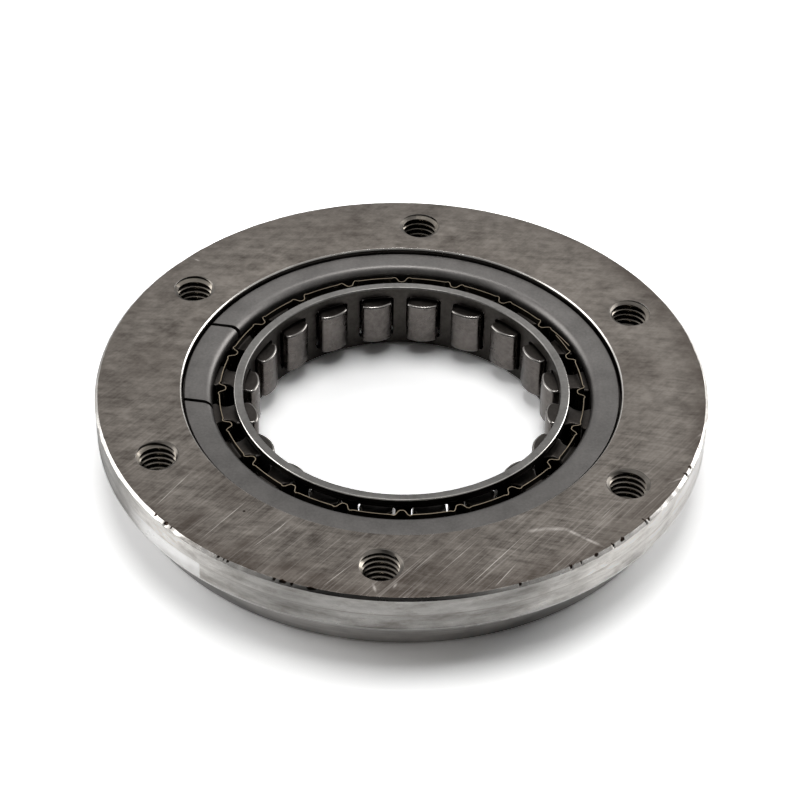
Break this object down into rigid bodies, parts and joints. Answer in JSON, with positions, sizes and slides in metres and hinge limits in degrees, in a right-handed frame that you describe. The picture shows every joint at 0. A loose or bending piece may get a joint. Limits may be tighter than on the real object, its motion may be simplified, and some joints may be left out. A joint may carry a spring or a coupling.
{
  "type": "starter clutch",
  "caption": "Flanged ring with tapped bolt holes and a caged sprag unit in its bore: it drives a starter gear's hub one way and freewheels the other way.",
  "frame": {"origin": "on the bore axis, in the plane of the back face", "axes": "+Z along the bore axis towards the mounting face, +Y through a bolt hole"},
  "size_m": [0.115, 0.115, 0.0155],
  "materials": {
    "carrier_steel": "ground",
    "outer_cage_steel": "matte",
    "spring_steel": "bright",
    "inner_cage_steel": "satin",
    "sprag_steel": "satin"
  },
  "bodies": {
    "carrier": {"carrier": "carrier_steel"},
    "outer_cage": {"outer_cage": "outer_cage_steel", "ribbon_spring": "spring_steel"},
    "inner_cage": {"inner_cage": "inner_cage_steel"},
    "sprag_01": {"sprag_01": "sprag_steel"},
    "sprag_02": {"sprag_02": "sprag_steel"},
    "sprag_03": {"sprag_03": "sprag_steel"},
    "sprag_04": {"sprag_04": "sprag_steel"},
    "sprag_05": {"sprag_05": "sprag_steel"},
    "sprag_06": {"sprag_06": "sprag_steel"},
    "sprag_07": {"sprag_07": "sprag_steel"},
    "sprag_08": {"sprag_08": "sprag_steel"},
    "sprag_09": {"sprag_09": "sprag_steel"},
    "sprag_10": {"sprag_10": "sprag_steel"},
    "sprag_11": {"sprag_11": "sprag_steel"},
    "sprag_12": {"sprag_12": "sprag_steel"},
    "sprag_13": {"sprag_13": "sprag_steel"},
    "sprag_14": {"sprag_14": "sprag_steel"},
    "sprag_15": {"sprag_15": "sprag_steel"},
    "sprag_16": {"sprag_16": "sprag_steel"},
    "sprag_17": {"sprag_17": "sprag_steel"},
    "sprag_18": {"sprag_18": "sprag_steel"},
    "sprag_19": {"sprag_19": "sprag_steel"},
    "sprag_20": {"sprag_20": "sprag_steel"}
  },
  "joints": [
    {"name": "cage_turn", "type": "hinge", "parent": "carrier", "child": "outer_cage", "pos_m": [0, 0, 0.00737], "axis": [0, 0, 1], "continuous": true},
    {"name": "cage_shift", "type": "hinge", "parent": "outer_cage", "child": "inner_cage", "pos_m": [0, 0, 0.00737], "axis": [0, 0, 1], "range_deg": [0, 0.86], "stiffness_Nm_per_rad": 0.5, "springref_deg": -1.15},
    {"name": "sprag_01_tilt", "type": "hinge", "parent": "outer_cage", "child": "sprag_01", "pos_m": [0.03227, 0.00757, 0.00737], "axis": [0, 0, 1], "range_deg": [-10, 0]},
    {"name": "sprag_02_tilt", "type": "hinge", "parent": "outer_cage", "child": "sprag_02", "pos_m": [0.02836, 0.01717, 0.00737], "axis": [0, 0, 1], "range_deg": [-10, 0]},
    {"name": "sprag_03_tilt", "type": "hinge", "parent": "outer_cage", "child": "sprag_03", "pos_m": [0.02166, 0.02509, 0.00737], "axis": [0, 0, 1], "range_deg": [-10, 0]},
    {"name": "sprag_04_tilt", "type": "hinge", "parent": "outer_cage", "child": "sprag_04", "pos_m": [0.01285, 0.03056, 0.00737], "axis": [0, 0, 1], "range_deg": [-10, 0]},
    {"name": "sprag_05_tilt", "type": "hinge", "parent": "outer_cage", "child": "sprag_05", "pos_m": [0.00277, 0.03303, 0.00737], "axis": [0, 0, 1], "range_deg": [-10, 0]},
    {"name": "sprag_06_tilt", "type": "hinge", "parent": "outer_cage", "child": "sprag_06", "pos_m": [-0.00757, 0.03227, 0.00737], "axis": [0, 0, 1], "range_deg": [-10, 0]},
    {"name": "sprag_07_tilt", "type": "hinge", "parent": "outer_cage", "child": "sprag_07", "pos_m": [-0.01717, 0.02836, 0.00737], "axis": [0, 0, 1], "range_deg": [-10, 0]},
    {"name": "sprag_08_tilt", "type": "hinge", "parent": "outer_cage", "child": "sprag_08", "pos_m": [-0.02509, 0.02166, 0.00737], "axis": [0, 0, 1], "range_deg": [-10, 0]},
    {"name": "sprag_09_tilt", "type": "hinge", "parent": "outer_cage", "child": "sprag_09", "pos_m": [-0.03056, 0.01285, 0.00737], "axis": [0, 0, 1], "range_deg": [-10, 0]},
    {"name": "sprag_10_tilt", "type": "hinge", "parent": "outer_cage", "child": "sprag_10", "pos_m": [-0.03303, 0.00277, 0.00737], "axis": [0, 0, 1], "range_deg": [-10, 0]},
    {"name": "sprag_11_tilt", "type": "hinge", "parent": "outer_cage", "child": "sprag_11", "pos_m": [-0.03227, -0.00757, 0.00737], "axis": [0, 0, 1], "range_deg": [-10, 0]},
    {"name": "sprag_12_tilt", "type": "hinge", "parent": "outer_cage", "child": "sprag_12", "pos_m": [-0.02836, -0.01717, 0.00737], "axis": [0, 0, 1], "range_deg": [-10, 0]},
    {"name": "sprag_13_tilt", "type": "hinge", "parent": "outer_cage", "child": "sprag_13", "pos_m": [-0.02166, -0.02509, 0.00737], "axis": [0, 0, 1], "range_deg": [-10, 0]},
    {"name": "sprag_14_tilt", "type": "hinge", "parent": "outer_cage", "child": "sprag_14", "pos_m": [-0.01285, -0.03056, 0.00737], "axis": [0, 0, 1], "range_deg": [-10, 0]},
    {"name": "sprag_15_tilt", "type": "hinge", "parent": "outer_cage", "child": "sprag_15", "pos_m": [-0.00277, -0.03303, 0.00737], "axis": [0, 0, 1], "range_deg": [-10, 0]},
    {"name": "sprag_16_tilt", "type": "hinge", "parent": "outer_cage", "child": "sprag_16", "pos_m": [0.00757, -0.03227, 0.00737], "axis": [0, 0, 1], "range_deg": [-10, 0]},
    {"name": "sprag_17_tilt", "type": "hinge", "parent": "outer_cage", "child": "sprag_17", "pos_m": [0.01717, -0.02836, 0.00737], "axis": [0, 0, 1], "range_deg": [-10, 0]},
    {"name": "sprag_18_tilt", "type": "hinge", "parent": "outer_cage", "child": "sprag_18", "pos_m": [0.02509, -0.02166, 0.00737], "axis": [0, 0, 1], "range_deg": [-10, 0]},
    {"name": "sprag_19_tilt", "type": "hinge", "parent": "outer_cage", "child": "sprag_19", "pos_m": [0.03056, -0.01285, 0.00737], "axis": [0, 0, 1], "range_deg": [-10, 0]},
    {"name": "sprag_20_tilt", "type": "hinge", "parent": "outer_cage", "child": "sprag_20", "pos_m": [0.03303, -0.00277, 0.00737], "axis": [0, 0, 1], "range_deg": [-10, 0]}
  ],
  "couplings": [
    {"joint": "sprag_01_tilt", "follows": "cage_shift", "ratio": -11.509},
    {"joint": "sprag_02_tilt", "follows": "cage_shift", "ratio": -11.509},
    {"joint": "sprag_03_tilt", "follows": "cage_shift", "ratio": -11.509},
    {"joint": "sprag_04_tilt", "follows": "cage_shift", "ratio": -11.509},
    {"joint": "sprag_05_tilt", "follows": "cage_shift", "ratio": -11.509},
    {"joint": "sprag_06_tilt", "follows": "cage_shift", "ratio": -11.509},
    {"joint": "sprag_07_tilt", "follows": "cage_shift", "ratio": -11.509},
    {"joint": "sprag_08_tilt", "follows": "cage_shift", "ratio": -11.509},
    {"joint": "sprag_09_tilt", "follows": "cage_shift", "ratio": -11.509},
    {"joint": "sprag_10_tilt", "follows": "cage_shift", "ratio": -11.509},
    {"joint": "sprag_11_tilt", "follows": "cage_shift", "ratio": -11.509},
    {"joint": "sprag_12_tilt", "follows": "cage_shift", "ratio": -11.509},
    {"joint": "sprag_13_tilt", "follows": "cage_shift", "ratio": -11.509},
    {"joint": "sprag_14_tilt", "follows": "cage_shift", "ratio": -11.509},
    {"joint": "sprag_15_tilt", "follows": "cage_shift", "ratio": -11.509},
    {"joint": "sprag_16_tilt", "follows": "cage_shift", "ratio": -11.509},
    {"joint": "sprag_17_tilt", "follows": "cage_shift", "ratio": -11.509},
    {"joint": "sprag_18_tilt", "follows": "cage_shift", "ratio": -11.509},
    {"joint": "sprag_19_tilt", "follows": "cage_shift", "ratio": -11.509},
    {"joint": "sprag_20_tilt", "follows": "cage_shift", "ratio": -11.509}
  ]
}
